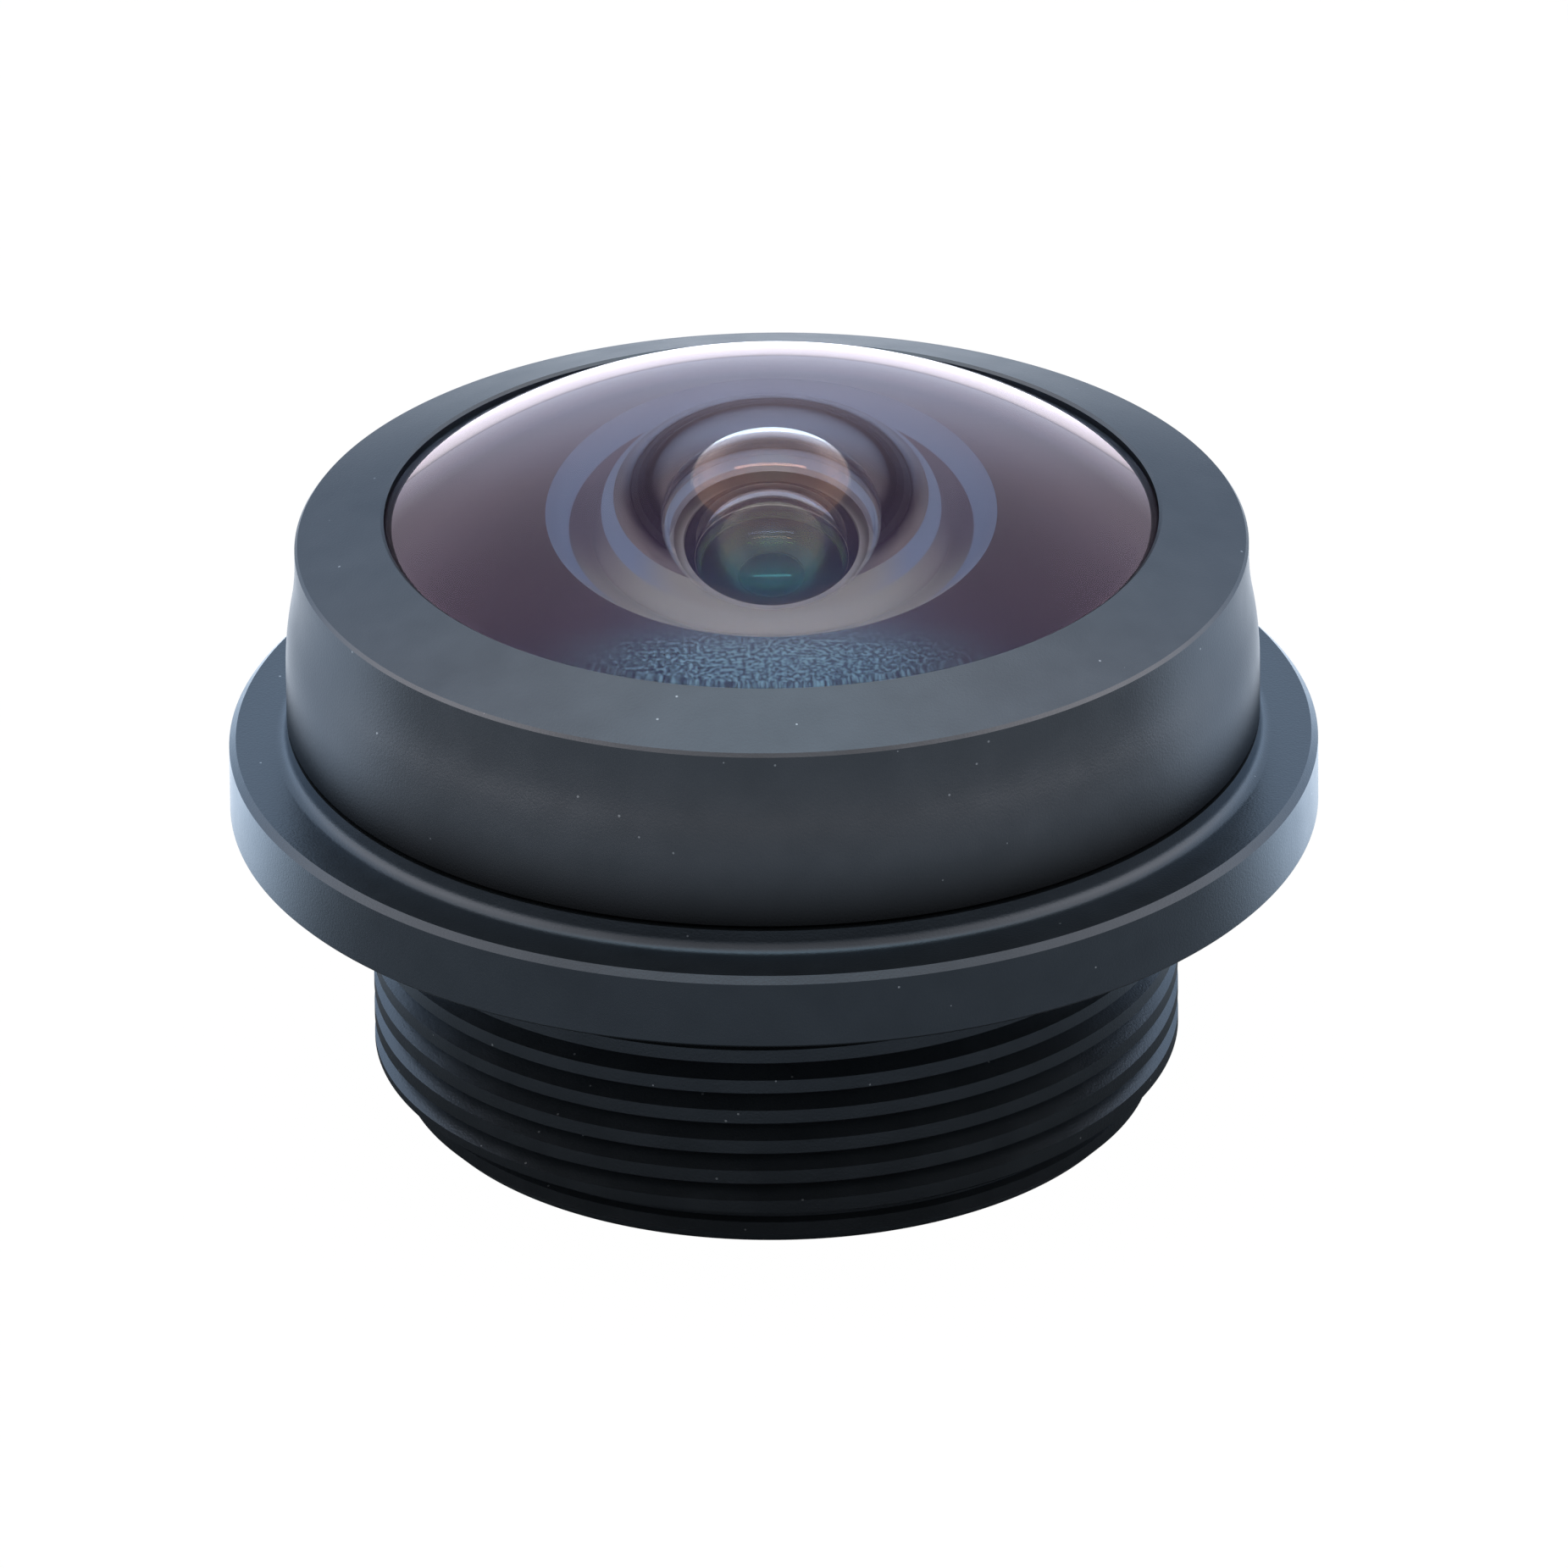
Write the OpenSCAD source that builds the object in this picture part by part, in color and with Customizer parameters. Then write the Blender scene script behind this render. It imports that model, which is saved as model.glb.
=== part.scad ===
// Fisheye board lens with an M12 x 0.5 mounting barrel, in millimetres.
// +Z runs along the optical axis to the front glass. The origin is the centre of the rear face.
// Each curved glass face is given by its diameter and its height, and its radius follows from them.

/* [Mounting thread] */
// Major diameter of the mounting thread
thread_d = 12; // [11.6:0.05:13]
// Length of the full thread
thread_length = 2.94; // [2:0.01:3.6]
// Length of the plain pilot behind the thread, with its chamfer
pilot_length = 0.4; // [0.3:0.01:0.6]
// How far the pilot lies inside the crests of the thread
pilot_step = 0.4; // [0.3:0.01:0.6]
// Chamfer on the rear edge
rear_chamfer = 0.2; // [0.1:0.01:0.28]
// Depth of the undercut below the pilot
undercut_depth = 0.1; // [0.05:0.01:0.2]
// Width of the floor of the undercut
undercut_w = 0.06; // [0.04:0.01:0.3]
// Depth of the relief groove under the flange
relief_depth = 0.45; // [0.3:0.01:0.6]
// Width of the floor of the relief groove
relief_w = 0.655; // [0.4:0.005:1]

/* [Flange] */
// Width of the flange outside the front ring
flange_w = 0.86; // [0.6:0.01:1.6]
// Flange thickness
flange_t = 1.14; // [0.8:0.01:1.5]
// Chamfer on its front edge
flange_chamfer = 0.1; // [0.05:0.01:0.2]
// Broken edge on its rear side
flange_break = 0.04; // [0.02:0.01:0.08]
// Fillet between the flange and the shoulder
shoulder_fillet = 0.26; // [0.1:0.01:0.4]
// Plain height of the shoulder above the fillet
shoulder_land = 0.09; // [0.05:0.01:0.3]

/* [Front ring] */
// Wall of the barrel's tube round the first lens
tube_wall = 0.38; // [0.3:0.01:0.6]
// Wall of the front ring outside the tube
ring_wall = 0.62; // [0.5:0.01:0.9]
// How much smaller the rim is than the skirt, on the radius
ring_draft = 0.16; // [0.05:0.01:0.25]
// Rim to the start of the flare
flare_top = 0.68; // [0.4:0.01:0.9]
// Height that the flare takes up
flare_h = 0.8; // [0.5:0.01:1.1]
// Gap at the seam between the front ring and the shoulder
seam_gap = 0.04; // [0.03:0.01:0.08]
// Broken edge on the rim
rim_break = 0.04; // [0.02:0.01:0.08]
// Slope of the front face, in degrees
face_angle = 19.6; // [14:0.2:24]
// Thickness of the lip over the glass, at the opening
lip_t = 0.26; // [0.2:0.01:0.4]
// Bevel inside the opening
lip_bevel = 0.05; // [0.03:0.01:0.08]
// Clearance of the opening round the dome
opening_clear = 0.08; // [0.04:0.01:0.15]
// Radial clearance of the ring on its thread
ring_clear = 0.02; // [0.01:0.01:0.04]

/* [First lens] */
// Diameter of the polished dome
lens1_dome_d = 11.3; // [10.6:0.02:13.4]
// Height of the dome
lens1_dome_h = 1.913; // [1.6:0.001:2.3]
// Width of the bevel round the dome
lens1_bevel_w = 0.55; // [0.4:0.01:0.7]
// Drop of the bevel
lens1_bevel_h = 0.55; // [0.4:0.01:0.7]
// Height of the cylindrical edge
lens1_edge_h = 0.62; // [0.5:0.01:0.8]
// Thickness at the centre
lens1_centre_t = 1.09; // [0.9:0.01:1.3]
// Diameter of the deep rear hollow
lens1_hollow_d = 4.28; // [4:0.02:4.6]
// Width of the bevel round the mouth of the hollow
lens1_mouth_w = 0.31; // [0.2:0.01:0.4]
// Height of that bevel
lens1_mouth_h = 0.15; // [0.1:0.01:0.2]
// Width of the flank that runs out from there to the painted rear face
lens1_flank_w = 0.37; // [0.3:0.01:0.5]
// Height of the flank
lens1_flank_h = 0.4; // [0.3:0.01:0.42]
// Chamfer on the rear edge
lens1_chamfer = 0.12; // [0.05:0.01:0.2]

/* [Seal] */
// Free thickness of the seal's cord
seal_d = 0.6; // [0.5:0.01:0.7]
// How much the groove squeezes the cord
seal_squeeze = 0.14; // [0.08:0.01:0.18]
// Room beside the cord in the groove
seal_side = 0.1; // [0.06:0.01:0.2]

/* [Second lens] */
// Width of the seat that the second lens has beyond the third
lens2_step = 0.5; // [0.4:0.01:0.7]
// Thickness at the edge
lens2_edge_t = 0.8; // [0.7:0.01:1]
// Width of the flat land between the first spacer and the front surface
lens2_land_w = 0.7; // [0.5:0.01:0.9]
// Height of the front surface
lens2_front_h = 0.9; // [0.8:0.01:1]
// How much smaller the rear hollow is than the front surface, on the radius
lens2_rear_step = 0.05; // [0:0.01:0.2]
// Depth of the rear hollow
lens2_rear_h = 1.25; // [1.1:0.01:1.35]

/* [Third lens] */
// Thickness at the edge
lens3_edge_t = 0.9; // [0.7:0.01:1.1]
// Diameter of the front surface
lens3_front_d = 4.4; // [4:0.02:5]
// Height of the front surface
lens3_front_h = 0.59; // [0.45:0.01:0.65]
// Diameter of the rear surface
lens3_rear_d = 3.6; // [3.2:0.02:4]
// Height of the rear surface
lens3_rear_h = 0.34; // [0.2:0.01:0.45]

/* [Front spacers] */
// Length of the first spacer
spacer1_l = 0.8; // [0.6:0.01:1]
// Clearance of its bore round the flank of the first lens
spacer1_clear = 0.18; // [0.1:0.01:0.25]
// How much its bore widens to the front, on the radius
spacer1_taper = 0.35; // [0.2:0.01:0.5]
// Wall of the first spacer at its front end
spacer1_wall = 0.7; // [0.5:0.01:0.9]
// Length of the second spacer
spacer2_l = 0.5; // [0.45:0.01:0.7]

/* [Middle wall and stop] */
// Air between the third lens and the stop
stop_air_front = 0.06; // [0.03:0.01:0.2]
// Air between the stop and the fourth lens
stop_air_rear = 0.02; // [0.02:0.01:0.2]
// Thickness of the aperture stop
stop_t = 0.08; // [0.05:0.01:0.1]
// Width of the spacer behind the stop, from its bore to its edge
stop_spacer_w = 1; // [0.7:0.01:1.2]
// Hole in the aperture stop
stop_hole_d = 1.5; // [1:0.02:2]

/* [Cemented pair] */
// Diameter of the cemented pair
pair_d = 5.8; // [5.2:0.02:6.6]
// Thickness of the fourth lens at its edge
lens4_edge_t = 0.35; // [0.3:0.01:0.45]
// Height of its front surface
lens4_front_h = 0.38; // [0.25:0.01:0.5]
// Height of the cemented surface
cement_h = 0.93; // [0.7:0.01:1.1]
// Thickness of the fifth lens at its centre
lens5_centre_t = 0.28; // [0.2:0.01:0.5]
// Width of the flat land round its rear hollow
lens5_land_w = 0.8; // [0.6:0.01:1]
// Depth of its rear hollow
lens5_rear_h = 0.46; // [0.36:0.01:0.56]

/* [Last lens] */
// Length of the spacer in front of the last lens
spacer3_l = 0.3; // [0.24:0.01:0.4]
// Width of that spacer, from its bore to its edge
spacer3_w = 0.5; // [0.4:0.01:0.7]
// Width of the seat that the last lens has beyond the pair
lens6_step = 0.3; // [0.2:0.01:0.4]
// Thickness at the edge
lens6_edge_t = 0.45; // [0.35:0.01:0.6]
// Height of the front surface
lens6_front_h = 0.63; // [0.5:0.01:0.76]
// Diameter of the rear surface
lens6_rear_d = 4.4; // [3.8:0.02:5]
// Height of the rear surface
lens6_rear_h = 0.42; // [0.3:0.01:0.5]

/* [Rear ring and filter] */
// Width of the ring's thread beyond the last lens
rear_ring_step = 0.3; // [0.2:0.01:0.4]
// Thickness of the rear ring
rear_ring_t = 0.62; // [0.52:0.01:0.8]
// Width of the two spanner slots
slot_w = 0.8; // [0.5:0.02:1]
// Depth of the two spanner slots
slot_depth = 0.3; // [0.2:0.01:0.4]
// Air between the rear ring and the infrared filter
filter_gap = 0.16; // [0.1:0.01:0.4]
// Ledge that the filter rests on
filter_ledge = 0.7; // [0.5:0.01:0.9]
// Thickness of the infrared filter
filter_t = 0.3; // [0.21:0.01:0.4]
// Depth of the filter below the rear face
filter_inset = 0.12; // [0.05:0.01:0.2]

/* [Shields and fits] */
// Thickness of the thin light shields
shield_t = 0.05; // [0.03:0.01:0.06]
// Radial clearance round the lenses and rings
bore_clear = 0.02; // [0.01:0.005:0.03]
// Axial clearance where a bore steps beside a seated piece
step_clear = 0.05; // [0.03:0.01:0.08]
// Radial clearance of a spacer's bore round a curved glass face
face_clear = 0.1; // [0.05:0.01:0.2]
// The same for the stop's spacer and the rear ring
wide_clear = 0.2; // [0.1:0.01:0.3]

/* [Hidden] */
$fn = 128;
cut = 1;

// Radius of the ball whose cap has diameter d and height h
function ball_r(d, h) = (d * d / 4 + h * h) / (2 * h);

// Heights from the rear face through the filter, the rear group and the middle wall
filter_front_z = filter_inset + filter_t;
rear_ring_z = filter_front_z + filter_gap;
lens6_rear_z = rear_ring_z + rear_ring_t;
lens6_front_z = lens6_rear_z + lens6_edge_t;
shield3_rear_z = lens6_front_z + spacer3_l;
lens5_rear_z = shield3_rear_z + shield_t;
cement_edge_z = lens5_rear_z + lens5_rear_h + lens5_centre_t + cement_h;
cement_centre_z = cement_edge_z - cement_h + ball_r(pair_d, cement_h);
lens4_front_z = cement_edge_z + lens4_edge_t;
stop_rear_z = lens4_front_z + lens4_front_h + stop_air_rear;
wall_rear_z = stop_rear_z + stop_t;
wall_front_z = wall_rear_z + lens3_rear_h + stop_air_front;

// Front group, seated on the middle wall and stacked to the front
lens3_front_z = wall_front_z + lens3_edge_t;
spacer2_front_z = lens3_front_z + spacer2_l;
lens2_rear_z = spacer2_front_z + shield_t;
lens2_front_z = lens2_rear_z + lens2_edge_t;
spacer1_front_z = lens2_front_z + spacer1_l;
lens1_rear_z = spacer1_front_z + shield_t;
lens1_edge_z = lens1_rear_z + lens1_edge_h;
lens1_dome_z = lens1_edge_z + lens1_bevel_h;
lens1_flank_z = lens1_rear_z - lens1_flank_h;
lens1_mouth_z = lens1_flank_z - lens1_mouth_h;
lens1_hollow_z = lens1_dome_z + lens1_dome_h - lens1_centre_t - lens1_hollow_d / 2;

// Diameters of the seats, each wider than the one that its piece passes
lens6_d = pair_d + 2 * lens6_step;
rear_ring_d = lens6_d + 2 * rear_ring_step;
filter_d = rear_ring_d + 2 * filter_ledge;
lens1_d = lens1_dome_d + 2 * lens1_bevel_w;
lens1_bevel_r = lens1_hollow_d / 2 + lens1_mouth_w;
lens1_flank_r = lens1_bevel_r + lens1_flank_w;
spacer1_front_d = 2 * (lens1_flank_r + spacer1_clear);
spacer1_rear_d = spacer1_front_d - 2 * spacer1_taper;
lens2_d = spacer1_front_d + 2 * spacer1_wall;
lens3_d = lens2_d - 2 * lens2_step;
stop_spacer_bore = pair_d - 2 * stop_spacer_w;
spacer3_bore = pair_d - 2 * spacer3_w;

// Curved faces that stand inside those bores
lens2_front_d = spacer1_rear_d - 2 * lens2_land_w;
lens2_rear_d = lens2_front_d - 2 * lens2_rear_step;
lens4_front_d = stop_spacer_bore - 2 * wide_clear;
lens5_rear_d = pair_d - 2 * lens5_land_w;
lens6_front_d = spacer3_bore - 2 * face_clear;

// Outside radii, from the first lens out to the flange
groove_r = lens1_d / 2 + bore_clear;
tube_r = groove_r + tube_wall;
shell_r = tube_r + ring_clear + ring_wall;
rim_r = shell_r - ring_draft;
flange_r = shell_r + flange_w;
thread_r = thread_d / 2;
pilot_r = thread_r - pilot_step;
undercut_r = pilot_r - undercut_depth;
relief_r = thread_r - relief_depth;

// Heights of the outside
lead = 0.5;
thread_start = pilot_length + undercut_depth * lead + undercut_w + (thread_r - undercut_r) * lead;
thread_end = thread_start + thread_length;
seat_z = thread_end + relief_depth * lead + relief_w;
flange_z = seat_z + flange_t;
seam_z = flange_z + shoulder_fillet + shoulder_land;
ring_low_z = seam_z + seam_gap;
tube_front_z = lens1_edge_z - step_clear;

// Front ring, seated on the bevel of the first lens
opening_r = lens1_dome_d / 2 + opening_clear;
lip_low_z = lens1_dome_z - opening_clear * lens1_bevel_h / lens1_bevel_w;
opening_z = lip_low_z + lip_t;
rim_z = opening_z - (rim_r - opening_r) * tan(face_angle);

// Seal groove
groove_depth = seal_d - seal_squeeze;
groove_w = seal_d + 2 * seal_side;

// Points of a gentle S between two radii, made of two equal parabolas
function s_blend(r_low, z_low, r_high, z_high, steps = 6) =
    [for (i = [0:steps * 2])
        let (t = i / (steps * 2), e = t < 0.5 ? 2 * t * t : 1 - 2 * (1 - t) * (1 - t))
        [r_low + (r_high - r_low) * e, z_low + (z_high - z_low) * t]];

module bore(d, z_low, z_high) {
    translate([0, 0, z_low]) cylinder(d = d, h = z_high - z_low);
}

// Flat washer between two heights
module washer(outer_d, inner_d, z_low, z_high) {
    difference() {
        bore(outer_d, z_low, z_high);
        bore(inner_d, z_low - cut, z_high + cut);
    }
}

// Ball whose cap stands on a flat land. side is 1 to the front and -1 to the rear
module ball(d, h, land_z, side) {
    translate([0, 0, land_z + side * (h - ball_r(d, h))]) sphere(r = ball_r(d, h), $fn = 160);
}

// Domed cap on a flat land
module dome(d, h, land_z, side) {
    intersection() {
        ball(d, h, land_z, side);
        bore(d, land_z - (side > 0 ? h / 4 : h * 2), land_z + (side > 0 ? h * 2 : h / 4));
    }
}

// Outside of the barrel, turned from the rear face to the tube inside the front ring
module barrel_outside() {
    difference() {
        rotate_extrude() polygon([
            [0, 0],
            [pilot_r - rear_chamfer, 0],
            [pilot_r, rear_chamfer],
            [pilot_r, pilot_length],
            [undercut_r, pilot_length + undercut_depth * lead],
            [undercut_r, thread_start - (thread_r - undercut_r) * lead],
            [thread_r, thread_start],
            [thread_r, thread_end],
            [relief_r, thread_end + relief_depth * lead],
            [relief_r, seat_z],
            [flange_r - flange_break, seat_z],
            [flange_r, seat_z + flange_break],
            [flange_r, flange_z - flange_chamfer],
            [flange_r - flange_chamfer, flange_z],
            [shell_r + shoulder_fillet, flange_z],
            [shell_r, flange_z + shoulder_fillet],
            [shell_r, seam_z],
            [tube_r, seam_z],
            [tube_r, tube_front_z],
            [0, tube_front_z],
        ]);
        rotate_extrude() translate([shell_r + shoulder_fillet, flange_z + shoulder_fillet])
            circle(r = shoulder_fillet, $fn = 48);
    }
}

// Stepped bores for both groups, with the middle wall left standing between them
module barrel_bores() {
    bore(groove_r * 2, lens1_rear_z - step_clear, tube_front_z + cut);
    difference() {
        bore(groove_r * 2, lens1_rear_z - groove_depth, lens1_rear_z + cut);
        bore((groove_r - groove_w) * 2, 0, lens1_rear_z + cut * 2);
    }
    bore(lens2_d + 2 * bore_clear, spacer2_front_z - step_clear, lens1_rear_z + cut);
    bore(lens3_d + 2 * bore_clear, wall_front_z, lens2_rear_z);
    bore(lens3_rear_d + 2 * face_clear, wall_rear_z - cut, wall_front_z + cut);
    bore(pair_d + 2 * bore_clear, lens6_front_z, wall_rear_z);
    bore(lens6_d + 2 * bore_clear, lens6_rear_z - step_clear, lens6_front_z + step_clear);
    bore(rear_ring_d + 2 * bore_clear, 0, lens6_rear_z);
    bore(filter_d + 2 * bore_clear, -cut, filter_front_z);
}

module barrel() {
    color("#23282c") difference() {
        barrel_outside();
        barrel_bores();
    }
}

module front_ring() {
    color("#4b545b") rotate_extrude() polygon(concat(
        [[tube_r + ring_clear, ring_low_z], [shell_r - rim_break, ring_low_z],
         [shell_r, ring_low_z + rim_break]],
        s_blend(shell_r, rim_z - flare_top - flare_h, rim_r, rim_z - flare_top),
        [[rim_r, rim_z - rim_break],
         [rim_r - rim_break, rim_z + rim_break * tan(face_angle)],
         [opening_r + lip_bevel, opening_z - lip_bevel * tan(face_angle)],
         [opening_r, opening_z - lip_bevel],
         [opening_r, lip_low_z],
         [lens1_d / 2, lens1_edge_z],
         [tube_r + ring_clear, lens1_edge_z]]
    ));
}

// Meniscus with a wide dome in front and a deep hollow behind, in a boss with a bevelled mouth
module first_lens() {
    edge_r = lens1_d / 2;
    color("#8d93b8", 0.5) difference() {
        union() {
            rotate_extrude() polygon([
                [0, lens1_mouth_z],
                [lens1_hollow_d / 2, lens1_mouth_z],
                [lens1_bevel_r, lens1_flank_z],
                [lens1_flank_r, lens1_rear_z],
                [edge_r - lens1_chamfer, lens1_rear_z],
                [edge_r, lens1_rear_z + lens1_chamfer],
                [edge_r, lens1_edge_z],
                [lens1_dome_d / 2, lens1_dome_z],
                [0, lens1_dome_z],
            ]);
            dome(lens1_dome_d, lens1_dome_h, lens1_dome_z, 1);
        }
        translate([0, 0, lens1_hollow_z]) sphere(d = lens1_hollow_d, $fn = 160);
        bore(lens1_hollow_d, lens1_mouth_z - cut, lens1_hollow_z);
    }
}

// Seal squeezed flat between the first lens and the floor of its groove
module front_seal() {
    mid_r = groove_r - groove_w / 2;
    low_z = lens1_rear_z - groove_depth;
    color("#161616") rotate_extrude() intersection() {
        translate([mid_r, low_z + groove_depth / 2]) circle(d = seal_d, $fn = 48);
        translate([mid_r - seal_d, low_z]) square([seal_d * 2, groove_depth]);
    }
}

module front_shield() {
    color("#101010") washer(lens2_d, spacer1_front_d, spacer1_front_z, lens1_rear_z);
}

// Spacer with a bore that widens from the second lens to the front
module first_spacer() {
    color("#2a2a30") rotate_extrude() polygon([
        [spacer1_rear_d / 2, lens2_front_z],
        [lens2_d / 2, lens2_front_z],
        [lens2_d / 2, spacer1_front_z],
        [spacer1_front_d / 2, spacer1_front_z],
    ]);
}

module second_lens() {
    color("#aab4ba", 0.5) difference() {
        union() {
            bore(lens2_d, lens2_rear_z, lens2_front_z);
            dome(lens2_front_d, lens2_front_h, lens2_front_z, 1);
        }
        ball(lens2_rear_d, lens2_rear_h, lens2_rear_z, 1);
    }
}

module middle_shield() {
    color("#101010") washer(lens3_d, lens2_rear_d + 2 * face_clear, spacer2_front_z, lens2_rear_z);
}

module second_spacer() {
    color("#2a2a30") washer(lens3_d, lens3_front_d + 2 * face_clear, lens3_front_z, spacer2_front_z);
}

module third_lens() {
    color("#9fb3a4", 0.5) union() {
        bore(lens3_d, wall_front_z, lens3_front_z);
        dome(lens3_front_d, lens3_front_h, lens3_front_z, 1);
        dome(lens3_rear_d, lens3_rear_h, wall_front_z, -1);
    }
}

module aperture_stop() {
    color("#0c0c0c") washer(pair_d, stop_hole_d, stop_rear_z, wall_rear_z);
}

module stop_spacer() {
    color("#2a2a30") washer(pair_d, stop_spacer_bore, lens4_front_z, stop_rear_z);
}

// Ball behind the cemented surface, shared by both lenses of the pair
module cement_ball() {
    translate([0, 0, cement_centre_z]) sphere(r = ball_r(pair_d, cement_h), $fn = 160);
}

module fourth_lens() {
    color("#a9b7c4", 0.5) union() {
        intersection() {
            bore(pair_d, lens5_rear_z, lens4_front_z);
            cement_ball();
        }
        dome(lens4_front_d, lens4_front_h, lens4_front_z, 1);
    }
}

module fifth_lens() {
    color("#b9ad92", 0.5) difference() {
        bore(pair_d, lens5_rear_z, cement_edge_z);
        cement_ball();
        ball(lens5_rear_d, lens5_rear_h, lens5_rear_z, 1);
    }
}

module rear_shield() {
    color("#101010") washer(pair_d, spacer3_bore, shield3_rear_z, lens5_rear_z);
}

module rear_spacer() {
    color("#2a2a30") washer(pair_d, spacer3_bore, lens6_front_z, shield3_rear_z);
}

module sixth_lens() {
    color("#b4a2b8", 0.5) union() {
        bore(lens6_d, lens6_rear_z, lens6_front_z);
        dome(lens6_front_d, lens6_front_h, lens6_front_z, 1);
        dome(lens6_rear_d, lens6_rear_h, lens6_rear_z, -1);
    }
}

// Retaining ring with two spanner slots across its rear face
module rear_ring() {
    color("#23282c") difference() {
        washer(rear_ring_d, lens6_rear_d + 2 * wide_clear, rear_ring_z, lens6_rear_z);
        translate([-rear_ring_d, -slot_w / 2, rear_ring_z - cut])
            cube([rear_ring_d * 2, slot_w, slot_depth + cut]);
    }
}

module infrared_filter() {
    color("#8fb6b0", 0.6) bore(filter_d, filter_inset, filter_front_z);
}

barrel();
front_ring();
first_lens();
front_seal();
front_shield();
first_spacer();
second_lens();
middle_shield();
second_spacer();
third_lens();
aperture_stop();
stop_spacer();
fourth_lens();
fifth_lens();
rear_shield();
rear_spacer();
sixth_lens();
rear_ring();
infrared_filter();
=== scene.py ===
import math
import bpy
from mathutils import Matrix, Vector


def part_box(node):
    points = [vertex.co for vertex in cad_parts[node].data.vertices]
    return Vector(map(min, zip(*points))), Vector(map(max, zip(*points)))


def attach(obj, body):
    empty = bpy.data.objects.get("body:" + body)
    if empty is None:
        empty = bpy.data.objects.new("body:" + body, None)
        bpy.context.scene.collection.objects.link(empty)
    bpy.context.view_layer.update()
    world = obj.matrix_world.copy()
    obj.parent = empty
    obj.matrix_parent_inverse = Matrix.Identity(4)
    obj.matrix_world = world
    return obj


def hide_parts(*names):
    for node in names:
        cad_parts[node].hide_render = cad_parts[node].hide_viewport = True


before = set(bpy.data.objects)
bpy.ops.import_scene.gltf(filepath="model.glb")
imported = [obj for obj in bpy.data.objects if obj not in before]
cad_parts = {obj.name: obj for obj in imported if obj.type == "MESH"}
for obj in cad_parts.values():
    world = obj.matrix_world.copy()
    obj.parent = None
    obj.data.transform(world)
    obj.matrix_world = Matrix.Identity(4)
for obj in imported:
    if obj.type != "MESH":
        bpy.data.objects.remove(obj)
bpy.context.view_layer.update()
mm = 0.001
print("frame loaded:", len(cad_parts), "nodes")


# Camera, fitted to the rim, flange and thread of the photograph
view = {
    "pitch": 26.73,
    "roll": -0.594,
    "distance": 483.5,
    "pixelsPerMm": 78.94,
    "rightPx": -11.65,
    "upPx": -341.2,
    "framePx": 1851,
    "sensor": 36,
}


def makeCamera():
    pitch = math.radians(view["pitch"])
    roll = math.radians(view["roll"])
    forward = Vector((0, math.cos(pitch), -math.sin(pitch)))
    right = Vector((1, 0, 0))
    up = Vector((0, math.sin(pitch), math.cos(pitch)))
    offset = right * view["rightPx"] + up * view["upPx"]
    place = -forward * view["distance"] - offset / view["pixelsPerMm"]
    camRight = right * math.cos(roll) + up * math.sin(roll)
    camUp = up * math.cos(roll) - right * math.sin(roll)
    bpy.ops.object.camera_add()
    camera = bpy.context.object
    turn = Matrix((camRight, camUp, -forward)).transposed().to_4x4()
    camera.matrix_world = Matrix.Translation(place * mm) @ turn
    camera.data.sensor_width = view["sensor"]
    camera.data.lens = view["sensor"] * view["pixelsPerMm"] * view["distance"] / view["framePx"]
    camera.data.clip_start = 0.01
    camera.data.clip_end = 20
    bpy.context.scene.camera = camera


makeCamera()
print("camera placed")


# Small wrappers that let shader maths be written as Python expressions
class Value:
    def __init__(self, graph, socket):
        self.graph = graph
        self.socket = socket

    def maths(self, operation, *others):
        return self.graph.maths(operation, self, *others)

    def __add__(self, other):
        return self.maths("ADD", other)

    def __sub__(self, other):
        return self.maths("SUBTRACT", other)

    def __mul__(self, other):
        return self.maths("MULTIPLY", other)

    def __truediv__(self, other):
        return self.maths("DIVIDE", other)

    def __radd__(self, other):
        return self.graph.maths("ADD", other, self)

    def __rsub__(self, other):
        return self.graph.maths("SUBTRACT", other, self)

    def __rmul__(self, other):
        return self.graph.maths("MULTIPLY", other, self)


class Graph:
    def __init__(self, tree):
        self.tree = tree

    def node(self, kind, settings=None, sockets=None, out=0):
        made = self.tree.nodes.new("ShaderNode" + kind)
        for key, value in (settings or {}).items():
            if key == "stops":
                self.fillRamp(made.color_ramp, value)
            else:
                setattr(made, key, value)
        for key, value in (sockets or {}).items():
            self.plug(made.inputs[key], value)
        return Value(self, made.outputs[out])

    def fillRamp(self, ramp, stops):
        while len(ramp.elements) < len(stops):
            ramp.elements.new(0.5)
        for element, (place, colour) in zip(ramp.elements, stops):
            element.position = place
            element.color = colour

    def plug(self, socket, value):
        if isinstance(value, Value):
            self.tree.links.new(value.socket, socket)
        else:
            socket.default_value = value

    def maths(self, operation, *values):
        return self.node("Math", {"operation": operation}, dict(enumerate(values)))

    def mixColour(self, factor, first, second):
        return self.node("Mix", {"data_type": "RGBA"}, {0: factor, 6: first, 7: second}, 2)

    def outputs(self, kind, sockets=None):
        made = self.node(kind, None, sockets).socket.node
        return {socket.name: Value(self, socket) for socket in made.outputs}

    def place(self):
        return self.node("TexCoord", out=3)

    def axes(self):
        return self.outputs("SeparateXYZ", {0: self.place()})

    def length(self, vector):
        return self.node("VectorMath", {"operation": "LENGTH"}, {0: vector}, 1)

    # Runs gently from low to high while the value goes from start to end
    def smooth(self, value, start, end, low=0.0, high=1.0):
        sockets = {"Value": value, "From Min": start, "From Max": end, "To Min": low, "To Max": high}
        return self.node("MapRange", {"interpolation_type": "SMOOTHSTEP"}, sockets)

    def noise(self, scale, detail, roughness=0.5):
        sockets = {"Vector": self.place(), "Scale": scale, "Detail": detail, "Roughness": roughness}
        return self.node("TexNoise", None, sockets)

    def bump(self, height, distance):
        return self.node("Bump", None, {"Height": height, "Distance": distance, "Strength": 1.0})


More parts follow.
